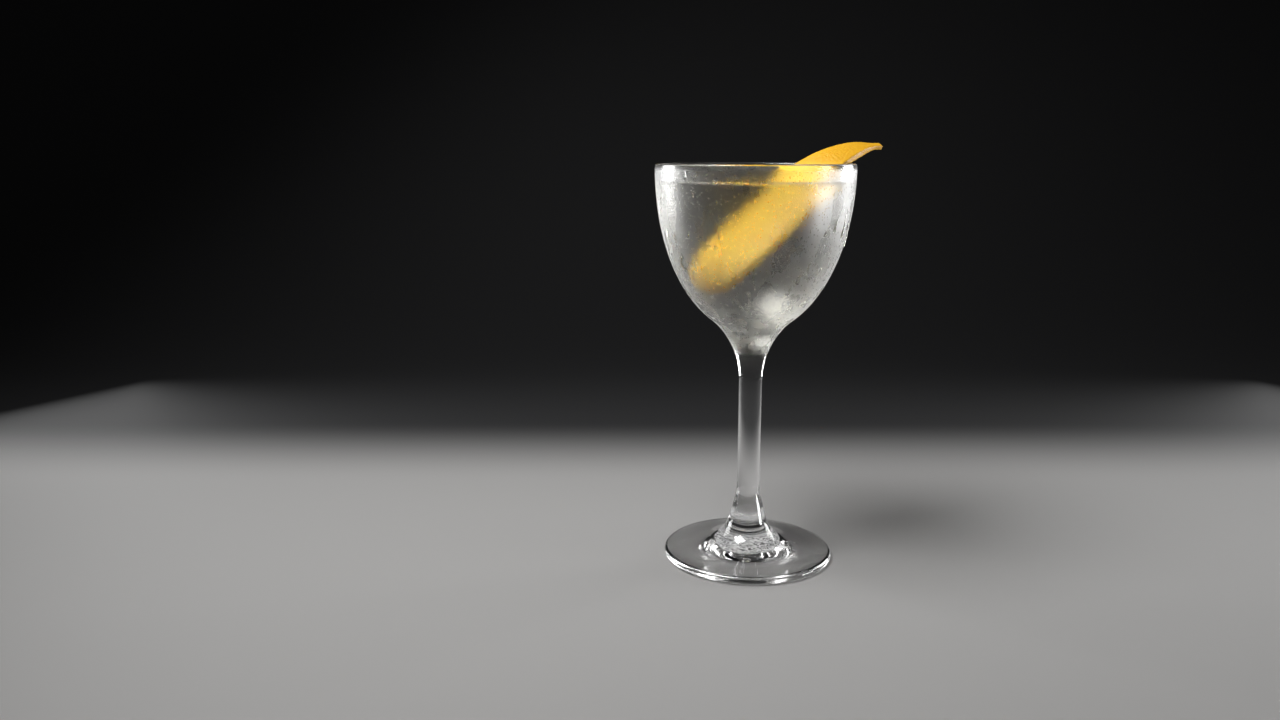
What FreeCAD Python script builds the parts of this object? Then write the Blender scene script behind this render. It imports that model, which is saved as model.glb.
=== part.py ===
import FreeCAD, Part

import math
import os

# A martini in a small stemmed cocktail glass, with one wide strip of lemon peel.
# Millimetres, +Z up. The origin is the middle of the ring that the foot stands on.
# -Y is the front: the peel's lower end rests there, low against the bowl on the -X side.
# The peel climbs towards +X and +Y, lies on the rim and juts out past it.

# Glass: overall sizes
GLASS_HEIGHT = 150.3
RIM_RADIUS = 36.6          # outside
FOOT_RADIUS = 32.3
STEM_RADIUS = 4.35

# Glass: bowl
WALL = 1.3
BOWL_CURVE_DEPTH = 62.3    # from the lip down to where the outside curve would close
BOWL_ROUNDNESS = 2.1       # 2 is an ellipse, more is fuller
BASE_GLASS = 2.9           # between the bottoms of the inner and the outer curve
FLARE_START = 5.5          # the flare leaves the bowl this far above the outside curve's bottom
FLARE_LENGTH = 23.8        # from there down to the plain stem
FLARE_BOWL_PULL = 5.7      # handles of the flare's curve, at the bowl and at the stem
FLARE_STEM_PULL = 12.2

# Glass: foot
FOOT_EDGE = 3.0            # thickness of the rounded edge
FOOT_RING = 4.5            # width of the flat ring that meets the table
FOOT_HOLLOW = 1.4          # rise of the underside inside the ring
DIMPLE_RADIUS = 11.0       # second, deeper hollow under the stem
DIMPLE_DEPTH = 0.7
FOOT_SLOPE = 5.0           # degrees, of the foot's top at its edge
FOOT_EDGE_PULL = 16.0      # handles of the foot's top, at its edge and at the cone
FOOT_CONE_PULL = 8.0
CONE_TOP = 26.0            # the foot's cone meets the stem here
CONE_HEIGHT = 10.4
CONE_ANGLE = 13.8          # degrees from upright
CONE_BLEND = 2.2           # rounds the corner between stem and cone

# Drink
LEVEL_BELOW_RIM = 6.7

# Lemon peel: the strip by itself. Shares are of its length, counted from the lower end.
PEEL_LENGTH = 90.8
PEEL_WIDTH = 23.7
PEEL_THICKNESS = 2.3
PEEL_NARROW_THICKNESS = 1.18  # thickness where the strip is narrow, as a share of the full one
PEEL_TIP_WIDTH = 0.25      # it thins out to both tips where it is narrower than this share
PEEL_CROWN_RADIUS = 35.2   # across the strip, the lemon's own roundness
PEEL_SPREAD = 0.5          # the pith side is wider by this at each edge
PEEL_BLUNT_SHARE = 0.156   # where the lower end has rounded out to the full width
PEEL_BLUNT_SHAPE = 2.4
PEEL_NARROW_SHARE = 0.07   # where the upper end begins to narrow
PEEL_NARROW_SHAPE = 2.19   # 1 narrows straight, more keeps the strip wide for longer
PEEL_END_WIDTH = 0.10      # width left at both ends, as a share of the full one
PEEL_BEND = 0.0017         # 1/mm, along the lower part
PEEL_UPPER_BEND = 0.0211   # 1/mm, along the upper part
PEEL_BEND_SHARE = 0.60     # where the stronger bend sets in
PEEL_BEND_BLEND = 0.07     # over this share of the length
PEEL_SIDE_BEND = 0.0018    # 1/mm, sideways
PEEL_POINT_SHIFT = 2.4     # sideways shift of the pointed end
PEEL_TWIST = -27.1         # degrees, from end to end
PEEL_SECTIONS = 19

# Lemon peel: how it lies in the glass
PEEL_HEADING = 37.0        # degrees from +X, the way in which it climbs, seen from above
PEEL_LEAN = 17.6           # degrees, its front edge is lower than its back edge
PEEL_CLIMB = 51.0          # degrees, of its lower end, in the plane square to its width
PEEL_OFFSET = 8.8          # of the strip's middle in front of the glass's axis, square to the heading
PEEL_GAP = 0.3             # to the bowl's wall and to the rim

LIP_Z = GLASS_HEIGHT - WALL / 2
LEVEL_Z = GLASS_HEIGHT - LEVEL_BELOW_RIM
INNER_RADIUS = RIM_RADIUS - WALL
INNER_CURVE_DEPTH = BOWL_CURVE_DEPTH - BASE_GLASS
CURVE_POINTS = 15

ORIGIN = FreeCAD.Vector(0, 0, 0)
UP = FreeCAD.Vector(0, 0, 1)


def at(radius, z):
    """A point of a profile that is turned about the Z axis."""
    return FreeCAD.Vector(radius, 0, z)


def toward(angle_deg):
    """Unit vector in the profile's plane, at an angle above the outward direction."""
    angle = math.radians(angle_deg)
    return at(math.cos(angle), math.sin(angle))


def bezier(*poles):
    curve = Part.BezierCurve()
    curve.setPoles(list(poles))
    return curve.toShape()


def spline(points, first_direction, last_direction):
    curve = Part.BSplineCurve()
    curve.interpolate(Points=points, InitialTangent=first_direction, FinalTangent=last_direction)
    return curve.toShape()


def turned(edges):
    """Solid of a closed profile turned about the Z axis."""
    face = Part.Face(Part.Wire(edges))
    return face.revolve(ORIGIN, UP, 360)


# The bowl's curves, outside and inside

def bowl_radius(depth, lip_radius, curve_depth):
    """Radius at a depth below the lip."""
    share = min(max(depth / curve_depth, 0.0), 1.0)
    return lip_radius * math.sqrt(1.0 - share ** BOWL_ROUNDNESS)


def bowl_slope(depth, lip_radius, curve_depth):
    """How much the radius grows for each millimetre up."""
    share = depth / curve_depth
    radius = bowl_radius(depth, lip_radius, curve_depth)
    return lip_radius ** 2 * BOWL_ROUNDNESS * share ** (BOWL_ROUNDNESS - 1) / (2 * radius * curve_depth)


def bowl_points(lip_radius, curve_depth, last_depth):
    """Points from the lip down, evenly turned, to a depth below the lip."""
    last_turn = math.asin((last_depth / curve_depth) ** (BOWL_ROUNDNESS / 2))
    points = []
    for i in range(CURVE_POINTS):
        turn = last_turn * i / (CURVE_POINTS - 1)
        depth = curve_depth * math.sin(turn) ** (2 / BOWL_ROUNDNESS)
        points.append(at(lip_radius * math.cos(turn), LIP_Z - depth))
    return points


def make_glass():
    # Underside: a dimple under the stem, a shallow hollow and the flat ring
    ring_inner = FOOT_RADIUS - FOOT_EDGE / 2 - FOOT_RING
    hollow_radius = (ring_inner ** 2 + FOOT_HOLLOW ** 2) / (2 * FOOT_HOLLOW)

    def hollow_z(radius):
        return FOOT_HOLLOW - hollow_radius + math.sqrt(hollow_radius ** 2 - radius ** 2)

    dimple_edge = at(DIMPLE_RADIUS, hollow_z(DIMPLE_RADIUS))
    dimple_top = at(0, dimple_edge.z + DIMPLE_DEPTH)
    dimple = bezier(dimple_top, at(DIMPLE_RADIUS / 2, dimple_top.z), dimple_edge)
    hollow_middle = (DIMPLE_RADIUS + ring_inner) / 2
    hollow = Part.Arc(dimple_edge, at(hollow_middle, hollow_z(hollow_middle)), at(ring_inner, 0)).toShape()
    ring_outer = at(FOOT_RADIUS - FOOT_EDGE / 2, 0)
    ring = Part.makeLine(at(ring_inner, 0), ring_outer)

    # Foot's edge, its top and the cone up to the stem
    edge_top = at(FOOT_RADIUS - FOOT_EDGE / 2, FOOT_EDGE)
    edge = Part.Arc(ring_outer, at(FOOT_RADIUS, FOOT_EDGE / 2), edge_top).toShape()
    cone_up = toward(90 + CONE_ANGLE)
    cone_tip = at(STEM_RADIUS, CONE_TOP)
    cone_foot = cone_tip - cone_up * (CONE_HEIGHT / cone_up.z)
    foot_top = bezier(edge_top, edge_top + toward(180 - FOOT_SLOPE) * FOOT_EDGE_PULL,
                      cone_foot - cone_up * FOOT_CONE_PULL, cone_foot)
    cone_end = cone_tip - cone_up * CONE_BLEND
    cone = Part.makeLine(cone_foot, cone_end)
    stem_foot = at(STEM_RADIUS, CONE_TOP + CONE_BLEND)
    blend = bezier(cone_end, cone_tip, stem_foot)

    # Stem, flare and the outside of the bowl
    flare_depth = BOWL_CURVE_DEPTH - FLARE_START
    outside = bowl_points(RIM_RADIUS, BOWL_CURVE_DEPTH, flare_depth)
    flare_top = outside[-1]
    slope = bowl_slope(flare_depth, RIM_RADIUS, BOWL_CURVE_DEPTH)
    flare_down = at(-slope, -1).normalize()
    stem_top = at(STEM_RADIUS, flare_top.z - FLARE_LENGTH)
    stem = Part.makeLine(stem_foot, stem_top)
    flare = bezier(stem_top, stem_top + UP * FLARE_STEM_PULL,
                   flare_top + flare_down * FLARE_BOWL_PULL, flare_top)
    bowl_outside = spline(outside[::-1], flare_down * -1, UP)

    # Rounded rim, the inside of the bowl and the axis
    lip_outer = outside[0]
    inside = bowl_points(INNER_RADIUS, INNER_CURVE_DEPTH, INNER_CURVE_DEPTH)
    rim = Part.Arc(lip_outer, at(RIM_RADIUS - WALL / 2, GLASS_HEIGHT), inside[0]).toShape()
    bowl_inside = spline(inside, at(0, -1), at(-1, 0))
    axis = Part.makeLine(inside[-1], dimple_top)
    return turned([dimple, hollow, ring, edge, foot_top, cone, blend, stem, flare,
                   bowl_outside, rim, bowl_inside, axis])


def make_full_drink():
    """What the bowl holds up to the level, before the peel is cut out."""
    inside = bowl_points(INNER_RADIUS, INNER_CURVE_DEPTH, INNER_CURVE_DEPTH)
    lip = Part.makeLine(at(0, LIP_Z), inside[0])
    wall = spline(inside, at(0, -1), at(-1, 0))
    axis = Part.makeLine(inside[-1], at(0, LIP_Z))
    above = Part.makeCylinder(RIM_RADIUS, GLASS_HEIGHT, at(0, LEVEL_Z))
    return turned([lip, wall, axis]).cut(above)


# The lemon peel

def peel_axes():
    """Along the heading, across the strip and square to both."""
    heading = math.radians(PEEL_HEADING)
    lean = math.radians(PEEL_LEAN)
    along = FreeCAD.Vector(math.cos(heading), math.sin(heading), 0)
    front = FreeCAD.Vector(math.sin(heading), -math.cos(heading), 0)
    across = front * math.cos(lean) - UP * math.sin(lean)
    return along, across, across.cross(along)


def peel_half_width(share):
    """Half of the strip's width, rounded off at the lower end and narrowing to a point."""
    blunt = max(1 - share / PEEL_BLUNT_SHARE, 0)
    narrow = max((share - PEEL_NARROW_SHARE) / (1 - PEEL_NARROW_SHARE), 0)
    outline = math.sqrt(1 - blunt ** PEEL_BLUNT_SHAPE) * (1 - narrow ** PEEL_NARROW_SHAPE)
    return PEEL_WIDTH / 2 * max(outline, PEEL_END_WIDTH)


def peel_angle(share):
    """Climb of the strip's middle line, in radians; its bend grows smoothly along it."""
    late = math.log1p(math.exp((share - PEEL_BEND_SHARE) / PEEL_BEND_BLEND)) * PEEL_BEND_BLEND
    turned_by = PEEL_BEND * share + (PEEL_UPPER_BEND - PEEL_BEND) * late
    return math.radians(PEEL_CLIMB) - turned_by * PEEL_LENGTH


def peel_stations(count):
    """Sections from end to end, closer together at both ends. Each is its share of the
    length and six points: zest and pith at the back edge, the middle and the front edge."""
    along, across, square = peel_axes()
    steps = 400
    middle_line = [ORIGIN]
    for i in range(steps):
        angle = peel_angle((i + 0.5) / steps)
        step = along * math.cos(angle) + square * math.sin(angle)
        middle_line.append(middle_line[-1] + step * (PEEL_LENGTH / steps))
    start = along.cross(UP) * PEEL_OFFSET - middle_line[steps // 2]
    stations = []
    for k in range(count):
        share = (1 - math.cos(math.pi * k / (count - 1))) / 2
        angle = peel_angle(share)
        half_width = peel_half_width(share)
        fullness = half_width / (PEEL_WIDTH / 2)
        outward = square * math.cos(angle) - along * math.sin(angle)
        twist = math.radians(PEEL_TWIST) * (share - 0.5)
        side = across * math.cos(twist) + outward * math.sin(twist)
        face = outward * math.cos(twist) - across * math.sin(twist)
        narrow = max((share - PEEL_NARROW_SHARE) / (1 - PEEL_NARROW_SHARE), 0)
        sideways = PEEL_SIDE_BEND / 2 * ((share - 0.5) * PEEL_LENGTH) ** 2
        centre = start + middle_line[round(share * steps)] + across * sideways
        centre = centre + side * (PEEL_POINT_SHIFT * narrow ** 1.5)
        crown = half_width ** 2 / (2 * PEEL_CROWN_RADIUS)
        tip = math.sqrt(min(fullness / PEEL_TIP_WIDTH, 1.0))
        thickness = PEEL_THICKNESS * (PEEL_NARROW_THICKNESS + (1 - PEEL_NARROW_THICKNESS) * fullness)
        half_thickness = thickness / 2 * tip
        pith_half = half_width + PEEL_SPREAD * fullness
        zest = [centre + side * (half_width * e) + face * (crown * (1 - e * e) + half_thickness)
                for e in (-1, 0, 1)]
        pith = [centre + side * (pith_half * e) + face * (crown * (1 - e * e) - half_thickness)
                for e in (-1, 0, 1)]
        stations.append((zest, pith))
    return stations


def gap_to_glass(point):
    """Distance from the bowl's wall, or from the rounded rim above the lip."""
    radius = math.hypot(point.x, point.y)
    if point.z >= LIP_Z:
        return math.hypot(radius - (RIM_RADIUS - WALL / 2), point.z - LIP_Z) - WALL / 2
    depth = LIP_Z - point.z
    inner = bowl_radius(depth, INNER_RADIUS, INNER_CURVE_DEPTH)
    if inner == 0:
        return point.z - (LIP_Z - INNER_CURVE_DEPTH)
    return (inner - radius) / math.hypot(1, bowl_slope(depth, INNER_RADIUS, INNER_CURVE_DEPTH))


def seat_peel():
    """The shift that lays the strip as low as it can go, a gap clear of wall and rim."""
    along = peel_axes()[0]
    outline = [point for zest, pith in peel_stations(80) for point in zest + pith]

    def lift_for(slide):
        low = 0.0
        high = 2 * GLASS_HEIGHT
        moved = [point + along * slide for point in outline]
        while high - low > 0.001:
            lift = (low + high) / 2
            if min(gap_to_glass(point + UP * lift) for point in moved) < PEEL_GAP:
                low = lift
            else:
                high = lift
        return high

    left = -RIM_RADIUS
    right = RIM_RADIUS
    while right - left > 0.01:
        third = (right - left) / 3
        if lift_for(left + third) < lift_for(right - third):
            right = right - third
        else:
            left = left + third
    slide = (left + right) / 2
    return along * slide + UP * lift_for(slide)


def make_peel():
    shift = seat_peel()
    wires = []
    for zest, pith in peel_stations(PEEL_SECTIONS):
        zest = [point + shift for point in zest]
        pith = [point + shift for point in pith]
        wires.append(Part.Wire([
            Part.Arc(*zest).toShape(),
            Part.makeLine(zest[2], pith[2]),
            Part.Arc(*pith[::-1]).toShape(),
            Part.makeLine(pith[0], zest[0]),
        ]))
    return Part.makeLoft(wires, True, False)


def export(name, shape):
    if not shape.isValid() or len(shape.Solids) != 1:
        raise ValueError(f"{name} is not one sound solid")
    solid = shape.Solids[0]
    solid.exportStep(f"parts/{name}.step")
    box = solid.BoundBox
    print(f"{name}: {solid.Volume / 1000:.2f} ml, x {box.XMin:.1f} to {box.XMax:.1f},"
          f" y {box.YMin:.1f} to {box.YMax:.1f}, z {box.ZMin:.1f} to {box.ZMax:.1f}")


os.makedirs("parts", exist_ok=True)
glass = make_glass()
peel = make_peel()
drink = make_full_drink().cut(peel)
export("glass", glass)
export("drink", drink)
export("lemon_peel", peel)
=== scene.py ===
# %% [markdown]
# # A martini in a small stemmed glass
# A clear drink stands almost to the rim of a blown glass that has come out of the cold, so the
# bowl is misted with condensation. One wide strip of lemon peel lies in the drink and juts out
# over the rim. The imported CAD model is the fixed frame: sizes and places are read from it.

import math

import bmesh
import bpy
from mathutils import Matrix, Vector, noise
from mathutils.bvhtree import BVHTree


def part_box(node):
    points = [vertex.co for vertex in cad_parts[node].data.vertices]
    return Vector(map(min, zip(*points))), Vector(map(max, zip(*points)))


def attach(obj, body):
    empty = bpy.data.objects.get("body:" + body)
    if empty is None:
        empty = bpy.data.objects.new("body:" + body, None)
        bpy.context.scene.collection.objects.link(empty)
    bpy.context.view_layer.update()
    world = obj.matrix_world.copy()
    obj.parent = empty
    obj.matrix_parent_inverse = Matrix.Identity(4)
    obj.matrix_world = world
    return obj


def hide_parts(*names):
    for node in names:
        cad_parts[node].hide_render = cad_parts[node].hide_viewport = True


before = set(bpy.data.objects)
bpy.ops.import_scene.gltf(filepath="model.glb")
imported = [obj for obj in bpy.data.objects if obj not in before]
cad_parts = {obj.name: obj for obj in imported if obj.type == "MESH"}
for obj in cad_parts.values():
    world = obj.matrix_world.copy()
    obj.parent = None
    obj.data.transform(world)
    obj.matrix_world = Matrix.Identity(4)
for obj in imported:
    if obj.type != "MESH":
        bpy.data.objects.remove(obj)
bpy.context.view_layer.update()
BODY = "root"
MM = 0.001
glass_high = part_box("glass")[1]
drink_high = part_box("drink")[1]
print("glass stands", round(glass_high.z / MM, 1), "mm tall; the drink's level is at",
      round(drink_high.z / MM, 1), "mm")

# %% [markdown]
# ## Helpers
# Colours are written as sRGB hex, as a picture editor shows them, and Blender wants linear
# light, so one function turns them. One more function adds a node with its settings and links.

# %% Colour and node helpers
def colour(hex_code):
    """Linear RGBA of an sRGB hex colour."""
    channels = [int(hex_code[i:i + 2], 16) / 255 for i in (1, 3, 5)]
    return [c / 12.92 if c <= 0.04045 else ((c + 0.055) / 1.055) ** 2.4 for c in channels] + [1.0]


def add(tree, kind, inputs=None, **settings):
    """Adds a node. inputs gives a value, or another node's output, for a socket's name or number."""
    node = tree.nodes.new(kind)
    for name, value in settings.items():
        setattr(node, name, value)
    for key, value in (inputs or {}).items():
        if isinstance(value, bpy.types.NodeSocket):
            tree.links.new(value, node.inputs[key])
        else:
            node.inputs[key].default_value = value
    return node


def new_material(name):
    """A material with an empty tree, and its output node."""
    material = bpy.data.materials.new(name)
    material.use_nodes = True
    material.node_tree.nodes.clear()
    return material, material.node_tree, material.node_tree.nodes.new("ShaderNodeOutputMaterial")


def new_object(name, mesh):
    piece = bpy.data.objects.new(name, mesh)
    bpy.context.scene.collection.objects.link(piece)
    return piece


# %% [markdown]
# ## Geometry Nodes as plain meshes
# A node tree is a live recipe. Once it has done its work, the result is kept as a plain mesh
# and the modifier goes, so that the piece is the same everywhere.

# %% Geometry Nodes helpers
def new_tree(name, sizes):
    """A Geometry Nodes tree with a geometry socket and named number inputs."""
    tree = bpy.data.node_groups.new(name, "GeometryNodeTree")
    tree.interface.new_socket("Geometry", in_out="INPUT", socket_type="NodeSocketGeometry")
    for label, kind in sizes.items():
        tree.interface.new_socket(label, in_out="INPUT", socket_type=kind)
    tree.interface.new_socket("Geometry", in_out="OUTPUT", socket_type="NodeSocketGeometry")
    return tree, tree.nodes.new("NodeGroupInput"), tree.nodes.new("NodeGroupOutput")


def baked(name, base, tree, values):
    """Runs a tree on a base object and keeps the result as a plain mesh in a new object."""
    modifier = base.modifiers.new("recipe", "NODES")
    modifier.node_group = tree
    for item in tree.interface.items_tree:
        if item.in_out == "INPUT" and item.name in values:
            modifier[item.identifier] = values[item.name]
    graph = bpy.context.evaluated_depsgraph_get()
    mesh = bpy.data.meshes.new_from_object(base.evaluated_get(graph))
    base.modifiers.remove(modifier)
    piece = new_object(name, mesh)
    print(f"{name}: {len(mesh.vertices)} points, {len(mesh.polygons)} faces")
    return piece


# %% [markdown]
# ## The glass's outline
# Blown glass is a shape of revolution: one outline turned about the stem. The bowl's curve is
# a slightly full ellipse, and Bezier curves make the flare and the foot's sweep. The sizes are
# the ones that the glass was designed with.

# %% Sizes of the glass
RIM_RADIUS = glass_high.x
WALL = 1.3 * MM
BOWL_CURVE_DEPTH = 62.3 * MM
BOWL_ROUNDNESS = 2.1
BASE_GLASS = 2.9 * MM
FLARE_START = 5.5 * MM
FLARE_LENGTH = 23.8 * MM
STEM_RADIUS = 4.35 * MM
FOOT_RADIUS = 32.3 * MM
FOOT_EDGE = 3.0 * MM
FOOT_RING = 4.5 * MM
LIP_Z = glass_high.z - WALL / 2
LEVEL_Z = drink_high.z


def bowl_curve(lip_radius, curve_depth, last_depth, count):
    """Points from the lip down along the bowl, as (radius, z)."""
    last_turn = math.asin((last_depth / curve_depth) ** (BOWL_ROUNDNESS / 2))
    turns = [last_turn * i / (count - 1) for i in range(count)]
    return [(lip_radius * math.cos(t), LIP_Z - curve_depth * math.sin(t) ** (2 / BOWL_ROUNDNESS))
            for t in turns]


def bezier(poles, count):
    """Points along a Bezier curve of any order, ends included."""
    points = []
    for i in range(count):
        level = [Vector(p) for p in poles]
        t = i / (count - 1)
        while len(level) > 1:
            level = [a.lerp(b, t) for a, b in zip(level, level[1:])]
        points.append(tuple(level[0]))
    return points


def arc(centre, radius, start_deg, end_deg, count):
    """Points along an arc."""
    angles = [math.radians(start_deg + (end_deg - start_deg) * i / (count - 1)) for i in range(count)]
    return [(centre[0] + radius * math.cos(a), centre[1] + radius * math.sin(a)) for a in angles]


# %% Outline of the glass, from under the stem to the bottom of the bowl's inside
def glass_outline():
    """(radius, z, mist) along the outline. Mist is 1 where condensation covers the glass."""
    hollow_rise, dimple_radius, dimple_depth = 1.4 * MM, 11.0 * MM, 0.7 * MM
    ring_inner = FOOT_RADIUS - FOOT_EDGE / 2 - FOOT_RING
    hollow_radius = (ring_inner ** 2 + hollow_rise ** 2) / (2 * hollow_rise)
    dimple_z = hollow_rise - hollow_radius + math.sqrt(hollow_radius ** 2 - dimple_radius ** 2)
    dimple_top = dimple_z + dimple_depth
    under = bezier([(0, dimple_top), (dimple_radius / 2, dimple_top), (dimple_radius, dimple_z)], 12)
    hollow = []
    for i in range(1, 10):
        radius = dimple_radius + (ring_inner - dimple_radius) * i / 9
        hollow.append((radius, hollow_rise - hollow_radius + math.sqrt(hollow_radius ** 2 - radius ** 2)))
    edge = arc((FOOT_RADIUS - FOOT_EDGE / 2, FOOT_EDGE / 2), FOOT_EDGE / 2, -90, 90, 17)

    cone_angle, cone_tip_z, cone_height, cone_blend = math.radians(13.8), 26.0 * MM, 10.4 * MM, 2.2 * MM
    cone_up = Vector((-math.sin(cone_angle), math.cos(cone_angle)))
    cone_tip = Vector((STEM_RADIUS, cone_tip_z))
    cone_foot = cone_tip - cone_up * (cone_height / cone_up.y)
    slope = math.radians(5.0)
    edge_pull, cone_pull = 16.0, 8.0  # mm that the foot's sweep follows its edge and the cone
    edge_top = Vector(edge[-1])
    inward = Vector((-math.cos(slope), math.sin(slope)))
    top = bezier([edge_top, edge_top + inward * edge_pull * MM,
                  cone_foot - cone_up * cone_pull * MM, cone_foot], 32)
    blend = bezier([cone_tip - cone_up * cone_blend, cone_tip, (STEM_RADIUS, cone_tip_z + cone_blend)], 8)

    flare_depth = BOWL_CURVE_DEPTH - FLARE_START
    outside = bowl_curve(RIM_RADIUS, BOWL_CURVE_DEPTH, flare_depth, 48)
    flare_top = Vector(outside[-1])
    share = flare_depth / BOWL_CURVE_DEPTH
    grow = RIM_RADIUS ** 2 * BOWL_ROUNDNESS * share ** (BOWL_ROUNDNESS - 1)
    grow = grow / (2 * flare_top.x * BOWL_CURVE_DEPTH)
    down = Vector((-grow, -1)).normalized()
    stem_top = Vector((STEM_RADIUS, flare_top.y - FLARE_LENGTH))
    stem = [(STEM_RADIUS, cone_tip_z + cone_blend + (stem_top.y - cone_tip_z - cone_blend) * i / 10)
            for i in range(1, 10)]
    stem_pull, bowl_pull = 12.2, 5.7  # mm that the flare follows the stem and the bowl
    flare = bezier([stem_top, stem_top + Vector((0, stem_pull * MM)),
                    flare_top + down * bowl_pull * MM, flare_top], 28)
    rim = arc((RIM_RADIUS - WALL / 2, LIP_Z), WALL / 2, 0, 180, 13)
    inner_depth = BOWL_CURVE_DEPTH - BASE_GLASS
    inside = bowl_curve(RIM_RADIUS - WALL, inner_depth, inner_depth, 44)

    plain = under + hollow + edge + top[1:] + blend + stem + flare
    misted = outside[-2:0:-1]
    outline = [(r, z, 0.0) for r, z in plain] + [(r, z, 1.0) for r, z in misted]
    outline += [(r, z, 0.0) for r, z in rim] + [(r, z, 0.0) for r, z in inside[1:]]

    # The mist reaches some way down the flare and thins out over its last 2 mm
    mist_end, mist_soft = 79.0 * MM, 2.0 * MM
    for i, (r, z, _) in enumerate(outline[:len(plain)]):
        if z > mist_end:
            outline[i] = (r, z, min((z - mist_end) / mist_soft, 1.0))
    return outline


outline = glass_outline()
print("outline points:", len(outline))

# %% [markdown]
# ## A lathe in Geometry Nodes
# Each row of a flat grid takes the radius and the height of one outline point, and each column
# an angle. The grid wraps round, its seam and poles are merged, and the mist value travels along.

# %% The lathe
def lathe_tree(material):
    sizes = {"Steps round": "NodeSocketInt", "Merge distance": "NodeSocketFloat"}
    tree, given, result = new_tree("lathe", sizes)
    rows = add(tree, "GeometryNodeAttributeDomainSize", {"Geometry": given.outputs["Geometry"]})
    columns = add(tree, "ShaderNodeMath", {0: given.outputs["Steps round"], 1: 1.0}, operation="ADD")
    grid = add(tree, "GeometryNodeMeshGrid", {"Size X": 1.0, "Size Y": 1.0, "Vertices X": columns.outputs[0],
                                              "Vertices Y": rows.outputs["Point Count"]})
    place = add(tree, "GeometryNodeInputPosition")
    across = add(tree, "ShaderNodeSeparateXYZ", {0: place.outputs[0]})
    angle = add(tree, "ShaderNodeMath", {0: across.outputs["X"], 1: 2 * math.pi}, operation="MULTIPLY")
    last_row = add(tree, "ShaderNodeMath", {0: rows.outputs["Point Count"], 1: 1.0}, operation="SUBTRACT")
    half = add(tree, "ShaderNodeMath", {0: across.outputs["Y"], 1: 0.5}, operation="ADD")
    row = add(tree, "ShaderNodeMath", {0: half.outputs[0], 1: last_row.outputs[0]}, operation="MULTIPLY")
    whole = add(tree, "ShaderNodeMath", {0: row.outputs[0]}, operation="ROUND")
    point = add(tree, "GeometryNodeSampleIndex", {"Geometry": given.outputs["Geometry"],
                "Value": place.outputs[0], "Index": whole.outputs[0]}, data_type="FLOAT_VECTOR")
    mist_in = add(tree, "GeometryNodeInputNamedAttribute", {"Name": "mist"})
    mist = add(tree, "GeometryNodeSampleIndex", {"Geometry": given.outputs["Geometry"],
               "Value": mist_in.outputs[0], "Index": whole.outputs[0]}, data_type="FLOAT")
    kept = add(tree, "GeometryNodeStoreNamedAttribute", {"Geometry": grid.outputs["Mesh"], "Name": "mist",
               "Value": mist.outputs[0]}, data_type="FLOAT", domain="POINT")
    flat = add(tree, "ShaderNodeSeparateXYZ", {0: point.outputs[0]})
    spoke = add(tree, "ShaderNodeCombineXYZ", {"X": flat.outputs["X"], "Z": flat.outputs["Z"]})
    turned = add(tree, "ShaderNodeVectorRotate", {"Vector": spoke.outputs[0], "Axis": (0, 0, 1),
                 "Angle": angle.outputs[0]}, rotation_type="AXIS_ANGLE")
    moved = add(tree, "GeometryNodeSetPosition", {"Geometry": kept.outputs[0], "Position": turned.outputs[0]})
    closed = add(tree, "GeometryNodeMergeByDistance", {"Geometry": moved.outputs[0],
                 "Distance": given.outputs["Merge distance"]})
    smooth = add(tree, "GeometryNodeSetShadeSmooth", {"Geometry": closed.outputs[0]})
    whole_mesh = add(tree, "GeometryNodeRealizeInstances", {"Geometry": smooth.outputs[0]})
    finished = add(tree, "GeometryNodeSetMaterial", {"Geometry": whole_mesh.outputs[0], "Material": material})
    tree.links.new(finished.outputs[0], result.inputs[0])
    return tree


def signed_volume(mesh):
    """Volume in cubic metres, negative when the faces point inwards."""
    mesh.calc_loop_triangles()
    total = 0.0
    for triangle in mesh.loop_triangles:
        a, b, c = (mesh.vertices[i].co for i in triangle.vertices)
        total += a.dot(b.cross(c)) / 6
    return total


def turned_piece(name, points, steps, material):
    """Turns an outline of (radius, z, mist) into a closed solid of revolution."""
    mesh = bpy.data.meshes.new(name + "_outline")
    mesh.from_pydata([(r, 0, z) for r, z, _ in points], [(i, i + 1) for i in range(len(points) - 1)], [])
    mist = mesh.attributes.new("mist", "FLOAT", "POINT")
    for i, (_, _, value) in enumerate(points):
        mist.data[i].value = value
    base = new_object(name + "_outline", mesh)
    piece = baked(name, base, lathe_tree(material), {"Steps round": steps, "Merge distance": 0.002 * MM})
    bpy.data.objects.remove(base)
    if signed_volume(piece.data) < 0:
        piece.data.flip_normals()
    print(f"{name}: {signed_volume(piece.data) * 1e6:.1f} ml")
    return piece


# %% [markdown]
# ## Blown glass with condensation
# Clear soda-lime glass has an index of about 1.5. Where the bowl is cold, water stands on it
# as beads too small to see one by one: they blur what lies behind and scatter a little white.

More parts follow.
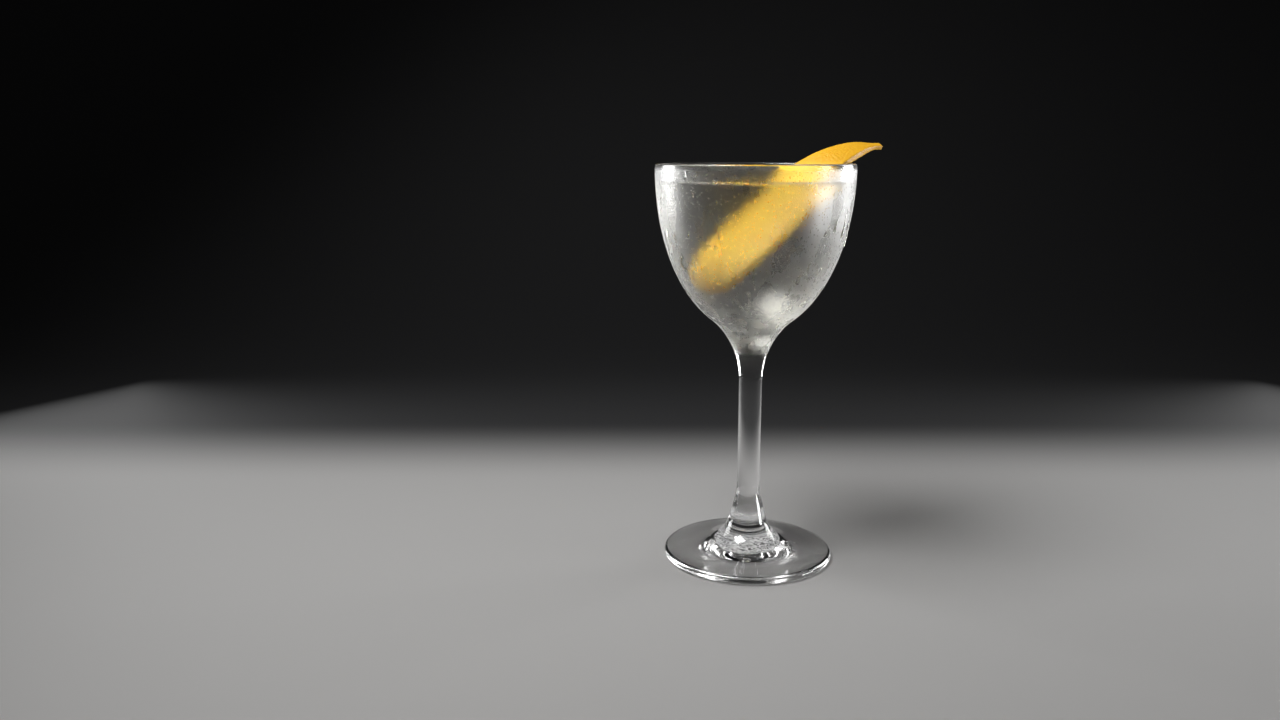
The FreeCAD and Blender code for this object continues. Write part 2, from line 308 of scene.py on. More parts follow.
# %% Glass material
def misted_glass():
    """Clear soda-lime glass: smooth where dry, milky and blurring where fine beads cover it."""
    material, tree, output = new_material("blown_soda_lime_glass_misted")
    place = add(tree, "ShaderNodeTexCoord")
    split = add(tree, "ShaderNodeSeparateXYZ", {0: place.outputs["Object"]})
    mist = add(tree, "ShaderNodeAttribute", attribute_name="mist")
    clear = add(tree, "ShaderNodeAttribute", attribute_name="clear")

    # Patches of denser and thinner mist, 9 mm wide, drawn out downwards as water creeps
    drawn = add(tree, "ShaderNodeMapping", {"Vector": place.outputs["Object"], "Scale": (1.0, 1.0, 0.45)})
    patches = add(tree, "ShaderNodeTexNoise", {"Vector": drawn.outputs[0], "Scale": 110.0, "Detail": 5.0,
                  "Roughness": 0.6})
    patchy = add(tree, "ShaderNodeMapRange", {"Value": patches.outputs["Fac"], "From Min": 0.3,
                 "From Max": 0.62, "To Min": 0.72, "To Max": 1.0})
    wiped = add(tree, "ShaderNodeMapRange", {"Value": clear.outputs["Fac"], "From Min": 0.1, "From Max": 0.5,
                "To Min": 1.0, "To Max": 0.0})
    cover_all = add(tree, "ShaderNodeMath", {0: mist.outputs["Fac"], 1: patchy.outputs[0]},
                    operation="MULTIPLY")
    cover = add(tree, "ShaderNodeMath", {0: cover_all.outputs[0], 1: wiped.outputs[0]}, operation="MULTIPLY")

    # Beads up to 0.6 mm across, one in each cell 0.7 mm wide, each a small clear dome
    beads = add(tree, "ShaderNodeTexVoronoi", {"Vector": place.outputs["Object"], "Scale": 1430.0})
    pick = add(tree, "ShaderNodeSeparateColor", {0: beads.outputs["Color"]})
    bead_size = add(tree, "ShaderNodeMapRange", {"Value": pick.outputs[0], "From Min": 0.45,
                    "To Min": 0.05, "To Max": 0.42})
    ratio = add(tree, "ShaderNodeMath", {0: beads.outputs["Distance"], 1: bead_size.outputs[0]},
                operation="DIVIDE")
    square = add(tree, "ShaderNodeMath", {0: ratio.outputs[0], 1: 2.0}, operation="POWER")
    inside = add(tree, "ShaderNodeMath", {0: 1.0, 1: square.outputs[0]}, operation="SUBTRACT", use_clamp=True)
    dome = add(tree, "ShaderNodeMath", {0: inside.outputs[0], 1: bead_size.outputs[0]}, operation="MULTIPLY")
    dome_mist = add(tree, "ShaderNodeMath", {0: dome.outputs[0], 1: cover.outputs[0]}, operation="MULTIPLY")
    bead_clear = add(tree, "ShaderNodeMapRange", {"Value": inside.outputs[0], "From Max": 0.4,
                     "To Min": 1.0, "To Max": 0.35})

    # A ground, rough patch about 21 mm across under the stem, where the foot was cracked off its rod
    flat = add(tree, "ShaderNodeCombineXYZ", {"X": split.outputs["X"], "Y": split.outputs["Y"]})
    far = add(tree, "ShaderNodeVectorMath", {0: flat.outputs[0]}, operation="LENGTH")
    ragged = add(tree, "ShaderNodeTexNoise", {"Vector": place.outputs["Object"], "Scale": 500.0,
                 "Detail": 4.0})
    edge = add(tree, "ShaderNodeMath", {0: ragged.outputs["Fac"], 1: 3.0 * MM, 2: far.outputs["Value"]},
               operation="MULTIPLY_ADD")
    near = add(tree, "ShaderNodeMapRange", {"Value": edge.outputs[0], "From Min": 11.8 * MM,
               "From Max": 12.4 * MM, "To Min": 1.0, "To Max": 0.0})
    low = add(tree, "ShaderNodeMapRange", {"Value": split.outputs["Z"], "From Min": 3.0 * MM,
              "From Max": 3.4 * MM, "To Min": 1.0, "To Max": 0.0})
    ground_patch = add(tree, "ShaderNodeMath", {0: near.outputs[0], 1: low.outputs[0]}, operation="MULTIPLY")

    # Thin smears where the foot was held with wet fingers: rougher glass, with a faint painted sheen of white
    smear_map = add(tree, "ShaderNodeMapping", {"Vector": place.outputs["Object"],
                    "Rotation": (0, 0, 0.5), "Scale": (1.0, 2.6, 1.0)})
    smear_noise = add(tree, "ShaderNodeTexNoise", {"Vector": smear_map.outputs[0], "Scale": 90.0,
                      "Detail": 5.0, "Roughness": 0.65})
    smears = add(tree, "ShaderNodeMapRange", {"Value": smear_noise.outputs["Fac"], "From Min": 0.52,
                 "From Max": 0.72})
    foot_only = add(tree, "ShaderNodeMapRange", {"Value": split.outputs["Z"], "From Min": 9.0 * MM,
                    "From Max": 16.0 * MM, "To Min": 1.0, "To Max": 0.0})
    smear = add(tree, "ShaderNodeMath", {0: smears.outputs[0], 1: foot_only.outputs[0]}, operation="MULTIPLY")

    # Roughness of glass under mist, under smears and on the ground patch
    mist_rough, smear_rough, ground_rough = 0.32, 0.28, 0.34
    rough_mist = add(tree, "ShaderNodeMath", {0: cover.outputs[0], 1: bead_clear.outputs[0]},
                     operation="MULTIPLY")
    rough_low = add(tree, "ShaderNodeMath", {0: smear.outputs[0], 1: smear_rough}, operation="MULTIPLY")
    rough_patch = add(tree, "ShaderNodeMath", {0: ground_patch.outputs[0], 1: ground_rough,
                      2: rough_low.outputs[0]}, operation="MULTIPLY_ADD")
    rough = add(tree, "ShaderNodeMath", {0: rough_mist.outputs[0], 1: mist_rough,
                2: rough_patch.outputs[0]}, operation="MULTIPLY_ADD")

    # Seen aslant, the beads hide each other and the glass behind, so the bowl's sides turn milky
    milk_aslant, milk_straight = 0.75, 0.004
    slant = add(tree, "ShaderNodeLayerWeight", {"Blend": 0.5})
    slant_square = add(tree, "ShaderNodeMath", {0: slant.outputs["Facing"], 1: 2.0}, operation="POWER")
    milky = add(tree, "ShaderNodeMath", {0: slant_square.outputs[0], 1: milk_aslant, 2: milk_straight},
                operation="MULTIPLY_ADD")
    white_mist = add(tree, "ShaderNodeMath", {0: cover.outputs[0], 1: milky.outputs[0]}, operation="MULTIPLY")

    # The ground patch is white flake by flake, partly the ground glass's own white and partly painted
    # glitter; the smears are barely white, a painted sheen
    flake_white_and_glint, smear_painted_sheen = 0.7, 0.05
    ground_flakes_and_glint = add(tree, "ShaderNodeMath", {0: ground_patch.outputs[0], 1: pick.outputs[1]},
                 operation="MULTIPLY")
    white_patch = add(tree, "ShaderNodeMath", {0: ground_flakes_and_glint.outputs[0], 1: flake_white_and_glint,
                      2: white_mist.outputs[0]}, operation="MULTIPLY_ADD")
    white = add(tree, "ShaderNodeMath", {0: smear.outputs[0], 1: smear_painted_sheen,
                2: white_patch.outputs[0]}, operation="MULTIPLY_ADD")
    clarity = add(tree, "ShaderNodeMath", {0: 1.0, 1: white.outputs[0]}, operation="SUBTRACT", use_clamp=True)

    # Heights for the bump, as shares of half a millimetre: domes of water, chips, a slow wave
    dome_share, wave_share, film_share = 0.7, 0.05, 0.22
    chip_height = add(tree, "ShaderNodeMath", {0: ragged.outputs["Fac"], 1: pick.outputs[2]}, operation="ADD")
    chips = add(tree, "ShaderNodeMath", {0: chip_height.outputs[0], 1: ground_patch.outputs[0]},
                operation="MULTIPLY")
    wave = add(tree, "ShaderNodeTexNoise", {"Vector": place.outputs["Object"], "Scale": 45.0})
    height = add(tree, "ShaderNodeMath", {0: dome_mist.outputs[0], 1: dome_share, 2: chips.outputs[0]},
                 operation="MULTIPLY_ADD")
    height_wave = add(tree, "ShaderNodeMath", {0: wave.outputs["Fac"], 1: wave_share,
                      2: height.outputs[0]}, operation="MULTIPLY_ADD")

    # The finest beads, 0.36 mm wide, bend the light a little each way and help to blur the peel
    film = add(tree, "ShaderNodeTexNoise", {"Vector": place.outputs["Object"], "Scale": 2800.0,
               "Detail": 2.0})
    film_cover = add(tree, "ShaderNodeMath", {0: film.outputs["Fac"], 1: cover.outputs[0]},
                     operation="MULTIPLY")
    height_film = add(tree, "ShaderNodeMath", {0: film_cover.outputs[0], 1: film_share,
                      2: height_wave.outputs[0]}, operation="MULTIPLY_ADD")
    bump = add(tree, "ShaderNodeBump", {"Strength": 0.8, "Distance": 0.5 * MM,
               "Height": height_film.outputs[0]})
    shader = add(tree, "ShaderNodeBsdfPrincipled", {"Base Color": colour("#FFFFFF"), "IOR": 1.5,
                 "Roughness": rough.outputs[0], "Transmission Weight": clarity.outputs[0],
                 "Normal": bump.outputs[0]})
    tree.links.new(shader.outputs[0], output.inputs["Surface"])
    return material


glass = turned_piece("glass_body", outline, steps=360, material=misted_glass())

# %% [markdown]
# ## The drink
# The drink fills the bowl to its level. Its edge climbs the wall in a small meniscus. It reaches
# a tenth of a millimetre into the glass, so that no film of air shows between the two.

# %% Drink
def drink_outline():
    overlap, meniscus_rise, meniscus_width = 0.1 * MM, 1.1 * MM, 2.2 * MM
    inner_depth = BOWL_CURVE_DEPTH - BASE_GLASS
    wall = bowl_curve(RIM_RADIUS - WALL + overlap, inner_depth + overlap, inner_depth + overlap, 60)
    wall = [(r, z) for r, z in wall if z < LEVEL_Z + meniscus_rise][::-1]
    edge_radius = wall[-1][0]
    points = wall
    for i in range(1, 12):
        share = i / 11
        points.append((edge_radius - meniscus_width * share, LEVEL_Z + meniscus_rise * (1 - share) ** 3))
    centre = [(points[-1][0] * (1 - i / 12), LEVEL_Z) for i in range(1, 13)]
    return [(r, z, 0.0) for r, z in points + centre]


def martini():
    """Gin and dry vermouth: clear, nearly colourless, with a faint swell 15 mm wide."""
    material, tree, output = new_material("gin_and_dry_vermouth")
    place = add(tree, "ShaderNodeTexCoord")
    swell = add(tree, "ShaderNodeTexNoise", {"Vector": place.outputs["Object"], "Scale": 65.0, "Detail": 2.0})
    ripple = add(tree, "ShaderNodeBump", {"Strength": 0.25, "Distance": 0.2 * MM,
                 "Height": swell.outputs["Fac"]})
    shader = add(tree, "ShaderNodeBsdfPrincipled", {"Base Color": colour("#FFFEF6"), "IOR": 1.35,
                 "Roughness": 0.0, "Transmission Weight": 1.0, "Normal": ripple.outputs[0]})
    tree.links.new(shader.outputs[0], output.inputs["Surface"])
    return material


drink = turned_piece("martini_drink", drink_outline(), steps=144, material=martini())

# %% [markdown]
# ## Water beads on the cold bowl
# Moisture from the air gathers into beads: thousands below half a millimetre, some larger, and
# a few that have run down. Real beads are caps of a sphere, flattened by gravity and wetting.
# Geometry Nodes scatter them on the bowl's outside, each turned square to the glass.

# %% The bowl's outside as a ground for the beads
BOWL_TOP = LIP_Z - 1.5 * MM
BOWL_LOW = 88.5 * MM
DRY_BELOW = 0.3  # with less mist than this, glass counts as dry
ground_outline = [(r, z, 1.0) for r, z, mist in outline
                  if mist > DRY_BELOW and BOWL_LOW < z < BOWL_TOP]
print("points of outline under the beads:", len(ground_outline))


def bead_cap(name, rings, segments):
    """A closed cap of a sphere, one unit in radius, with its flat base just below z = 0."""
    height, sunk = 0.5, -0.12
    work = bmesh.new()
    rows = []
    for i in range(rings + 1):
        share = i / (rings + 1)
        radius = math.cos(share * math.pi / 2)
        z = sunk if i == 0 else height * math.sin(share * math.pi / 2)
        rows.append([work.verts.new((radius * math.cos(a), radius * math.sin(a), z))
                     for a in (2 * math.pi * k / segments for k in range(segments))])
    top = work.verts.new((0, 0, height))
    for low, high in zip(rows, rows[1:]):
        for k in range(segments):
            m = (k + 1) % segments
            work.faces.new((low[k], low[m], high[m], high[k]))
    for k in range(segments):
        work.faces.new((rows[-1][k], rows[-1][(k + 1) % segments], top))
    work.faces.new(rows[0][::-1])
    mesh = bpy.data.meshes.new(name)
    work.to_mesh(mesh)
    work.free()
    return new_object(name, mesh)


# %% Scatter tree
def bead_tree():
    """Beads on a surface, thick in some places and thin in others. The sizes are radii."""
    sizes = {"Bead": "NodeSocketObject", "Density": "NodeSocketFloat", "Smallest": "NodeSocketFloat",
             "Largest": "NodeSocketFloat", "Seed": "NodeSocketInt", "Material": "NodeSocketMaterial"}
    tree, given, result = new_tree("beads_on_bowl", sizes)
    patches = add(tree, "ShaderNodeTexNoise", {"Scale": 60.0, "Detail": 2.0})
    place = add(tree, "GeometryNodeInputPosition")
    tree.links.new(place.outputs[0], patches.inputs["Vector"])
    uneven = add(tree, "ShaderNodeMapRange", {"Value": patches.outputs["Fac"], "From Min": 0.35,
                 "From Max": 0.65})
    density = add(tree, "ShaderNodeMath", {0: uneven.outputs[0], 1: given.outputs["Density"]},
                  operation="MULTIPLY")
    points = add(tree, "GeometryNodeDistributePointsOnFaces", {"Mesh": given.outputs["Geometry"],
                 "Density": density.outputs[0], "Seed": given.outputs["Seed"]})
    chance = add(tree, "FunctionNodeRandomValue", {"Seed": given.outputs["Seed"]}, data_type="FLOAT")

    # The power makes most beads small and the large ones rare
    rare = add(tree, "ShaderNodeMath", {0: chance.outputs[1], 1: 2.5}, operation="POWER")
    radius = add(tree, "ShaderNodeMapRange", {"Value": rare.outputs[0], "To Min": given.outputs["Smallest"],
                 "To Max": given.outputs["Largest"]})
    stretch = add(tree, "FunctionNodeRandomValue", {"Min": (0.85, 0.85, 0.8), "Max": (1.15, 1.3, 1.1),
                  "Seed": 5}, data_type="FLOAT_VECTOR")
    size = add(tree, "ShaderNodeVectorMath", {0: stretch.outputs[0], 3: radius.outputs[0]}, operation="SCALE")
    bead = add(tree, "GeometryNodeObjectInfo", {"Object": given.outputs["Bead"]})
    beads = add(tree, "GeometryNodeInstanceOnPoints", {"Points": points.outputs["Points"],
                "Instance": bead.outputs["Geometry"], "Rotation": points.outputs["Rotation"],
                "Scale": size.outputs[0]})
    real = add(tree, "GeometryNodeRealizeInstances", {"Geometry": beads.outputs[0]})
    smooth = add(tree, "GeometryNodeSetShadeSmooth", {"Geometry": real.outputs[0]})
    finished = add(tree, "GeometryNodeSetMaterial",
                   {"Geometry": smooth.outputs[0], "Material": given.outputs["Material"]})
    tree.links.new(finished.outputs[0], result.inputs[0])
    return tree


# %% Water
def condensed_water():
    """Water is as clear as glass with a lower index, so a bead is a tiny bright and dark lens."""
    material, tree, output = new_material("condensed_water")
    place = add(tree, "ShaderNodeTexCoord")
    skin = add(tree, "ShaderNodeTexNoise", {"Vector": place.outputs["Object"], "Scale": 900.0})
    bump = add(tree, "ShaderNodeBump", {"Strength": 0.1, "Distance": 0.02 * MM,
               "Height": skin.outputs["Fac"]})
    shader = add(tree, "ShaderNodeBsdfPrincipled", {"Base Color": colour("#FFFFFF"), "IOR": 1.33,
                 "Roughness": 0.0, "Transmission Weight": 1.0, "Normal": bump.outputs[0]})
    tree.links.new(shader.outputs[0], output.inputs["Surface"])
    return material


water = condensed_water()
ground = turned_piece("bead_ground", ground_outline, steps=96, material=water)
scatter = bead_tree()


def scattered_beads(name, rings, segments, density, smallest, largest, seed):
    """One kind of bead as one mesh. density is in beads per square millimetre."""
    bead = bead_cap(name + "_one", rings, segments)
    piece = baked(name, ground, scatter, {"Bead": bead, "Density": density / MM ** 2, "Smallest": smallest,
                  "Largest": largest, "Seed": seed, "Material": water})
    bpy.data.objects.remove(bead)
    return piece


fine_beads = scattered_beads("condensation_beads", rings=2, segments=7, density=0.30,
                             smallest=0.08 * MM, largest=0.26 * MM, seed=3)
drops = scattered_beads("condensation_drops", rings=5, segments=16, density=0.005,
                        smallest=0.25 * MM, largest=0.50 * MM, seed=11)
bpy.data.objects.remove(ground)

# %% [markdown]
# ## Drops that have run
# Where two beads meet they run down and leave a short clear track, or dry to an open ring.
# Each is a round path laid on the bowl, thicker at its lower end, and made a mesh at once.

# %% Tracks and rings of water
def bowl_radius(z):
    """Outside radius of the bowl at a height."""
    share = (LIP_Z - z) / BOWL_CURVE_DEPTH
    return RIM_RADIUS * math.sqrt(1 - share ** BOWL_ROUNDNESS)


def water_path(angle_deg, z_mm, steps):
    """Points on the bowl from one place, by (millimetres round, millimetres up, half thickness)."""
    points = []
    for across, up, half in steps:
        z = (z_mm + up) * MM
        radius = bowl_radius(z)
        angle = math.radians(angle_deg) + across * MM / radius
        points.append((radius * math.cos(angle), radius * math.sin(angle), z, half))
    return points


# Each step is (millimetres round, millimetres up, half thickness in millimetres)
ring = [(1.5 * math.cos(a), 2.4 * math.sin(a), 0.32) for a in (math.radians(60 + 20 * i) for i in range(13))]
run_a = [(0.2 * math.sin(i), -1.0 * i, 0.16 + 0.05 * i) for i in range(7)]
run_b = [(-0.25 * math.sin(1.3 * i), -1.1 * i, 0.14 + 0.045 * i) for i in range(8)]
short_run = [(0.1 * i, -0.7 * i, 0.2 + 0.12 * i) for i in range(4)]

# Each track is (degrees round the bowl, height in millimetres, steps)
TRACKS = [(-148, 115.5, ring), (-42, 133.5, run_a), (-31, 132.5, run_b), (-24, 130, short_run),
          (-137, 148.0, short_run), (-130, 147.6, short_run[:3]), (-160, 127, short_run),
          (-64, 111.5, short_run), (-18, 127, run_a), (-168, 137, run_b[:5]), (35, 131, run_a),
          (88, 126, ring), (120, 134, run_b), (160, 120, short_run), (62, 118, short_run),
          (10, 112, run_b[:6]), (-84, 118.6, short_run[:3])]


def water_tracks():
    curve = bpy.data.curves.new("water_tracks", "CURVE")
    curve.dimensions = "3D"
    curve.bevel_depth = 1.0
    curve.bevel_resolution = 4
    curve.use_fill_caps = True
    for angle, z, steps in TRACKS:
        points = water_path(angle, z, steps)
        spline = curve.splines.new("NURBS")
        spline.points.add(len(points) - 1)
        for i, (x, y, height, half) in enumerate(points):
            spline.points[i].co = (x, y, height, 1.0)
            spline.points[i].radius = half * MM
        spline.order_u = 4
        spline.use_endpoint_u = True
        spline.resolution_u = 3
    base = new_object("water_tracks_path", curve)
    graph = bpy.context.evaluated_depsgraph_get()
    mesh = bpy.data.meshes.new_from_object(base.evaluated_get(graph))
    bpy.data.objects.remove(base)

    # Points that lie deeper in the wall than this come out to it
    sink = 0.05 * MM
    for vert in mesh.vertices:
        wall_radius = bowl_radius(min(vert.co.z, LIP_Z))
        radius = math.hypot(vert.co.x, vert.co.y)
        if radius - wall_radius < -sink:
            squeeze = (wall_radius - sink) / radius
            vert.co.x *= squeeze
            vert.co.y *= squeeze
    for face in mesh.polygons:
        face.use_smooth = True
    mesh.materials.clear()
    mesh.materials.append(water)
    piece = new_object("condensation_tracks", mesh)
    print("tracks:", len(mesh.polygons), "faces")
    return piece


tracks = water_tracks()

# %% [markdown]
# ## Clear glass under the drops
# A drop wipes the fine mist away, so one sees clearly through it. The glass keeps a number at
# each of its points that is 1 under a drop and 0 elsewhere.

# %% Clear spots on the glass
def mark_clear_spots():
    reach = 0.3 * MM
    corners, faces = [], []
    for source in (drops.data, tracks.data):
        start = len(corners)
        corners += [vert.co.copy() for vert in source.vertices]
        faces += [[start + i for i in face.vertices] for face in source.polygons]
    wet = BVHTree.FromPolygons(corners, faces)
    mist = glass.data.attributes["mist"]
    clear = glass.data.attributes.new("clear", "FLOAT", "POINT")
    count = 0
    for i, vert in enumerate(glass.data.vertices):
        if mist.data[i].value < DRY_BELOW:
            continue
        found = wet.find_nearest(vert.co, reach)[3]
        if found is not None:
            clear.data[i].value = 1 - min(found / reach, 1.0)
            count += 1
    print("glass points under water:", count)


mark_clear_spots()

# %% [markdown]
# ## The lemon peel
# The CAD solid has the strip's true shape. A voxel remesh turns it into an even skin fine enough
# for pores, and a distance to the zest face tells the yellow zest from the pale pith.

# %% Peel mesh
def crease_patches(mesh, crease_deg):
    """Groups of faces that meet smoothly, the largest first, as lists of face numbers."""
    work = bmesh.new()
    work.from_mesh(mesh)
    bmesh.ops.remove_doubles(work, verts=work.verts, dist=0.001 * MM)
    work.faces.ensure_lookup_table()
    limit = math.radians(crease_deg)
    seen = set()
    patches = []
    for first in work.faces:
        if first.index in seen:
            continue
        seen.add(first.index)
        queue = [first]
        patch = []
        while queue:
            face = queue.pop()
            patch.append(face)
            for edge in face.edges:
                for other in edge.link_faces:
                    if other.index not in seen and face.normal.angle(other.normal, math.pi) < limit:
                        seen.add(other.index)
                        queue.append(other)
        patches.append(patch)
    patches.sort(key=lambda patch: -sum(face.calc_area() for face in patch))
    trees = []
    for patch in patches[:2]:
        area = sum(face.calc_area() for face in patch)
        lean = sum((face.normal * face.calc_area() for face in patch), Vector()) / area
        corners = [vert.co.copy() for face in patch for vert in face.verts]
        triangles = []
        start = 0
        for face in patch:
            triangles.append(tuple(range(start, start + len(face.verts))))
            start += len(face.verts)
        trees.append((lean.z, BVHTree.FromPolygons(corners, triangles)))
    work.free()
    trees.sort(key=lambda pair: -pair[0])
    print("peel patches:", len(patches), "upward lean of the two faces:", [round(t[0], 2) for t in trees])
    return trees[0][1], trees[1][1]


def peel_skin():
    """The CAD strip with its loose triangles joined, remeshed to an even skin of small squares."""
    square = 0.3 * MM
    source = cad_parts["lemon_peel"].data.copy()
    work = bmesh.new()
    work.from_mesh(source)
    bmesh.ops.remove_doubles(work, verts=work.verts, dist=0.001 * MM)
    work.to_mesh(source)
    work.free()
    piece = new_object("lemon_peel_skin", source)
    remesh = piece.modifiers.new("even skin", "REMESH")
    remesh.mode = "VOXEL"
    remesh.voxel_size = square
    soften = piece.modifiers.new("soft edges", "SMOOTH")
    soften.factor = 0.5
    soften.iterations = 4
    graph = bpy.context.evaluated_depsgraph_get()
    mesh = bpy.data.meshes.new_from_object(piece.evaluated_get(graph))
    piece.modifiers.clear()
    piece.data = mesh
    print("peel skin:", len(mesh.polygons), "faces")
    return piece


zest_face, pith_face = crease_patches(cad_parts["lemon_peel"].data, crease_deg=25)
peel = peel_skin()

# %% [markdown]
# ## Pores, a wavering cut and fibres
# Oil glands dimple the zest about every millimetre. The peeler leaves the cut edge a little
# wavy, and the pith side torn and fibrous. Each point moves along its own normal by a noise
# that depends on which of the two faces is nearer.

# %% Relief of the peel
def ease(value, low, high):
    """A soft step from 0 at low to 1 at high."""
    share = min(max((value - low) / (high - low), 0.0), 1.0)
    return share * share * (3 - 2 * share)


def carve_peel(piece):
    """Moves the skin's points by noises, whose widths and depths are in millimetres."""
    pore_width, pore_depth = 1.15, 0.11
    swell_width, swell_depth = 5.0, 0.10
    nick_width, nick_depth = 2.2, 0.20
    waver_width, waver_depth = 6.0, 0.25
    fibre_width, fibre_depth = 1.0, 0.10
    mesh = piece.data
    normals = [vert.normal.copy() for vert in mesh.vertices]
    depth = mesh.attributes.new("depth", "FLOAT", "POINT")
    for i, vert in enumerate(mesh.vertices):
        co = vert.co.copy()
        below = zest_face.find_nearest(co)[3] / MM
        above = pith_face.find_nearest(co)[3] / MM
        depth.data[i].value = below
        on_zest = 1 - ease(below, 0.1, 0.4)
        on_pith = 1 - ease(above, 0.2, 0.6)
        on_cut = ease(min(below, above), 0.1, 0.6)
        pore = noise.voronoi(co / (pore_width * MM))[0][0]
        offset = -pore_depth * (1 - ease(pore, 0.0, 0.42)) * on_zest
        offset += swell_depth * noise.noise(co / (swell_width * MM)) * on_zest
        nick = nick_depth * noise.noise(co / (nick_width * MM)) * on_cut
        waver = waver_depth * noise.noise(co / (waver_width * MM)) * on_cut
        offset += nick + waver
        offset += fibre_depth * noise.noise(co / (fibre_width * MM)) * on_pith
        vert.co = co + normals[i] * (offset * MM)
    for face in mesh.polygons:
        face.use_smooth = True


carve_peel(peel)

# %% [markdown]
# ## Zest and pith
# Zest is a waxy skin full of oil glands: saturated yellow, finely dimpled, with a soft gloss.
# Pith is dull, fibrous and cream. The depth in millimetres below the zest face blends them.

# %% Peel material
def lemon_rind():
    """Waxy, finely pored zest over dull cream pith; light goes a millimetre into both."""
    material, tree, output = new_material("lemon_rind_cut_fresh")
    place = add(tree, "ShaderNodeTexCoord")
    depth = add(tree, "ShaderNodeAttribute", attribute_name="depth")
    wander = add(tree, "ShaderNodeTexNoise", {"Vector": place.outputs["Object"], "Scale": 800.0,
                 "Detail": 3.0})
    level = add(tree, "ShaderNodeMath", {0: wander.outputs["Fac"], 1: 0.4, 2: depth.outputs["Fac"]},
                operation="MULTIPLY_ADD")
    zest = add(tree, "ShaderNodeMapRange", {"Value": level.outputs[0], "From Min": 0.5, "From Max": 0.85,
               "To Min": 1.0, "To Max": 0.0})

    # Zest: broad tints 8 mm wide, and each oil gland, every 0.9 mm, a little deeper in colour
    blotch = add(tree, "ShaderNodeTexNoise", {"Vector": place.outputs["Object"], "Scale": 130.0,
                 "Detail": 3.0})
    ripe = add(tree, "ShaderNodeMix", {0: blotch.outputs["Fac"], 6: colour("#F8C024"),
               7: colour("#FFD84A")}, data_type="RGBA")
    glands = add(tree, "ShaderNodeTexVoronoi", {"Vector": place.outputs["Object"], "Scale": 1100.0,
                 "Smoothness": 0.4}, feature="SMOOTH_F1")
    gland = add(tree, "ShaderNodeMapRange", {"Value": glands.outputs["Distance"], "From Min": 0.1,
                "From Max": 0.45, "To Min": 0.35, "To Max": 0.0})
    skin = add(tree, "ShaderNodeMix", {0: gland.outputs[0], 6: ripe.outputs[2], 7: colour("#E49E12")},
               data_type="RGBA")

    # Painted shade: over the first 8 mm above the drink's level the zest turns a little deeper in colour
    split = add(tree, "ShaderNodeSeparateXYZ", {0: place.outputs["Object"]})
    dry = add(tree, "ShaderNodeMapRange", {"Value": split.outputs["Z"], "From Min": LEVEL_Z,
              "From Max": LEVEL_Z + 8.0 * MM, "To Max": 0.8})
    skin = add(tree, "ShaderNodeMix", {0: dry.outputs[0], 6: skin.outputs[2], 7: colour("#BE8812")},
               data_type="RGBA")

    # Pith: cream with paler fibres
    fibre = add(tree, "ShaderNodeTexNoise", {"Vector": place.outputs["Object"], "Scale": 1300.0,
                "Detail": 5.0})
    cream = add(tree, "ShaderNodeMix", {0: fibre.outputs["Fac"], 6: colour("#F4E8C4"),
                7: colour("#FFFAEC")}, data_type="RGBA")
    rind = add(tree, "ShaderNodeMix", {0: zest.outputs[0], 6: cream.outputs[2], 7: skin.outputs[2]},
               data_type="RGBA")

    dimples = add(tree, "ShaderNodeMath", {0: glands.outputs["Distance"], 1: zest.outputs[0]},
                  operation="MULTIPLY")
    height = add(tree, "ShaderNodeMath", {0: fibre.outputs["Fac"], 1: 0.35, 2: dimples.outputs[0]},
                 operation="MULTIPLY_ADD")
    bump = add(tree, "ShaderNodeBump", {"Strength": 0.5, "Distance": 0.25 * MM, "Height": height.outputs[0]})
    rough = add(tree, "ShaderNodeMapRange", {"Value": zest.outputs[0], "To Min": 0.8, "To Max": 0.42})
    shader = add(tree, "ShaderNodeBsdfPrincipled", {"Base Color": rind.outputs[2],
                 "Roughness": rough.outputs[0], "IOR": 1.45, "Subsurface Weight": 0.2,
                 "Subsurface Radius": (1.0, 0.7, 0.25), "Subsurface Scale": 1.0 * MM,
                 "Normal": bump.outputs[0]})
    tree.links.new(shader.outputs[0], output.inputs["Surface"])
    return material


peel.data.materials.clear()
peel.data.materials.append(lemon_rind())

# %% [markdown]
# ## What the CAD nodes hand over to
# Each finished piece stands for its CAD solid and rides on the same body.

# %% Pieces on the frame
for piece, node in ((glass, "glass"), (drink, "drink"), (peel, "lemon_peel")):
    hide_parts(node)
    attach(piece, BODY)

# The beads, drops and tracks of water ride on the same body too
for piece in (fine_beads, drops, tracks):
    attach(piece, BODY)

# %% [markdown]
# ## Floor, light and camera
# The floor is a plain grey sweep, lit pale round the foot, that darkens towards the back, so that
# clear glass shows its edges. Two tall soft boxes stand behind the glass at its sides, a small
# one lights the peel's underside from the right, and a broad one hangs above.

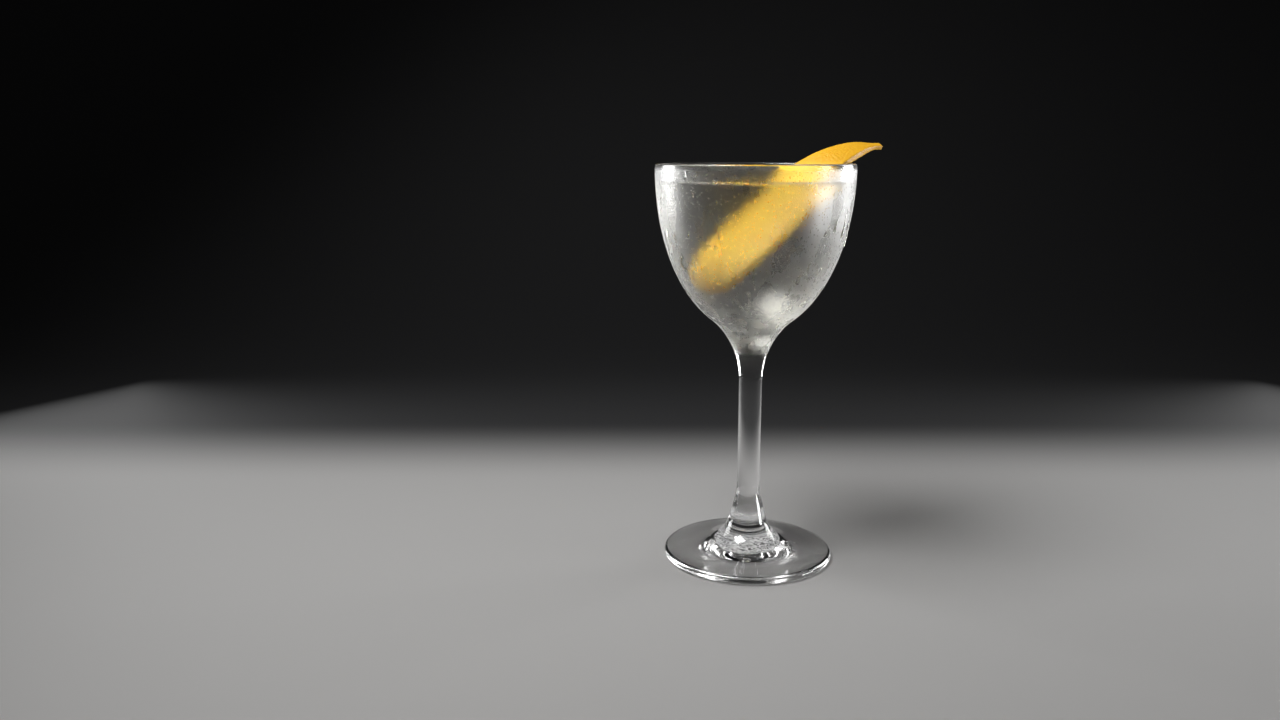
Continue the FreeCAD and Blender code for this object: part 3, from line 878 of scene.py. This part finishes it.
# %% Floor
def stage_sweep():
    width, front, flat_back, back, height, bend = 3.0, -0.9, 0.16, 0.62, 1.6, 0.3
    level = -0.15 * MM
    fade_start, fade_end = 0.09, 0.20
    outline = [(front, level), (flat_back, level)]
    outline += [(back - bend + bend * math.sin(a), level + bend - bend * math.cos(a))
                for a in (math.radians(5 * i) for i in range(19))]
    outline += [(back, height)]
    mesh = bpy.data.meshes.new("floor_sweep")
    rows = [[(x, y, z) for y, z in outline] for x in (-width / 2, width / 2)]
    count = len(outline)
    faces = [(count + i, count + i + 1, i + 1, i) for i in range(count - 1)]
    mesh.from_pydata(rows[0] + rows[1], [], faces)
    for face in mesh.polygons:
        face.use_smooth = True
    floor = new_object("floor_sweep", mesh)
    material, tree, output = new_material("painted_card_graded")
    place = add(tree, "ShaderNodeTexCoord")
    split = add(tree, "ShaderNodeSeparateXYZ", {0: place.outputs["Object"]})
    fade = add(tree, "ShaderNodeMapRange", {"Value": split.outputs["Y"], "From Min": fade_start,
               "From Max": fade_end}, interpolation_type="SMOOTHSTEP")
    tone = add(tree, "ShaderNodeMix", {0: fade.outputs[0], 6: colour("#828180"), 7: colour("#0E0E10")},
               data_type="RGBA")
    shader = add(tree, "ShaderNodeBsdfPrincipled", {"Base Color": tone.outputs[2], "Roughness": 0.8})
    tree.links.new(shader.outputs[0], output.inputs["Surface"])
    mesh.materials.append(material)


stage_sweep()

# %% Lights
def soft_box(name, place, aim, width, height, power, beam_deg):
    """A lit rectangle. Only the camera's own rays pass it by; glass and drink still show it."""
    data = bpy.data.lights.new(name, "AREA")
    data.shape = "RECTANGLE"
    data.size = width
    data.size_y = height
    data.energy = power
    data.spread = math.radians(beam_deg)
    light = new_object(name, data)
    light.visible_camera = False
    light.location = place
    light.rotation_euler = (Vector(aim) - Vector(place)).to_track_quat("-Z", "Y").to_euler()


soft_box("soft_box_left", place=(-0.42, 0.22, 0.17), aim=(0, 0, 0.10), width=0.20, height=0.32,
         power=0.48, beam_deg=90)
soft_box("soft_box_right", place=(0.42, 0.22, 0.17), aim=(0, 0, 0.10), width=0.20, height=0.32,
         power=0.42, beam_deg=90)
soft_box("soft_box_fill", place=(0.46, -0.08, 0.05), aim=(0.02, 0, 0.14), width=0.16, height=0.12,
         power=0.36, beam_deg=90)
soft_box("soft_box_top", place=(-0.22, -0.12, 0.55), aim=(0, 0, 0.13), width=0.26, height=0.26,
         power=2.1, beam_deg=120)

# A faint even light stands for the rest of the room
world = bpy.data.worlds.new("room")
world.use_nodes = True
room_light = world.node_tree.nodes["Background"]
room_light.inputs["Color"].default_value = colour("#FFFFFF")
room_light.inputs["Strength"].default_value = 0.04
bpy.context.scene.world = world

# %% Camera
def set_camera():
    """A camera a little above the rim's height that looks slightly down."""
    look_down = 11.4
    data = bpy.data.cameras.new("camera")
    data.sensor_width = 36.0
    data.lens = 28.86
    data.clip_start = 0.01
    camera = new_object("camera", data)
    camera.location = (-0.042, -0.381, 0.154)
    camera.rotation_euler = (math.radians(90 - look_down), 0, 0)
    bpy.context.scene.camera = camera


set_camera()

# Light crosses many walls of glass, drink and beads, so its paths may be long
cycles = bpy.context.scene.cycles
cycles.max_bounces = 24
cycles.transmission_bounces = 20
cycles.glossy_bounces = 8
cycles.transparent_max_bounces = 12
cycles.blur_glossy = 0.5
cycles.sample_clamp_indirect = 8.0
bpy.context.scene.view_settings.view_transform = "Standard"
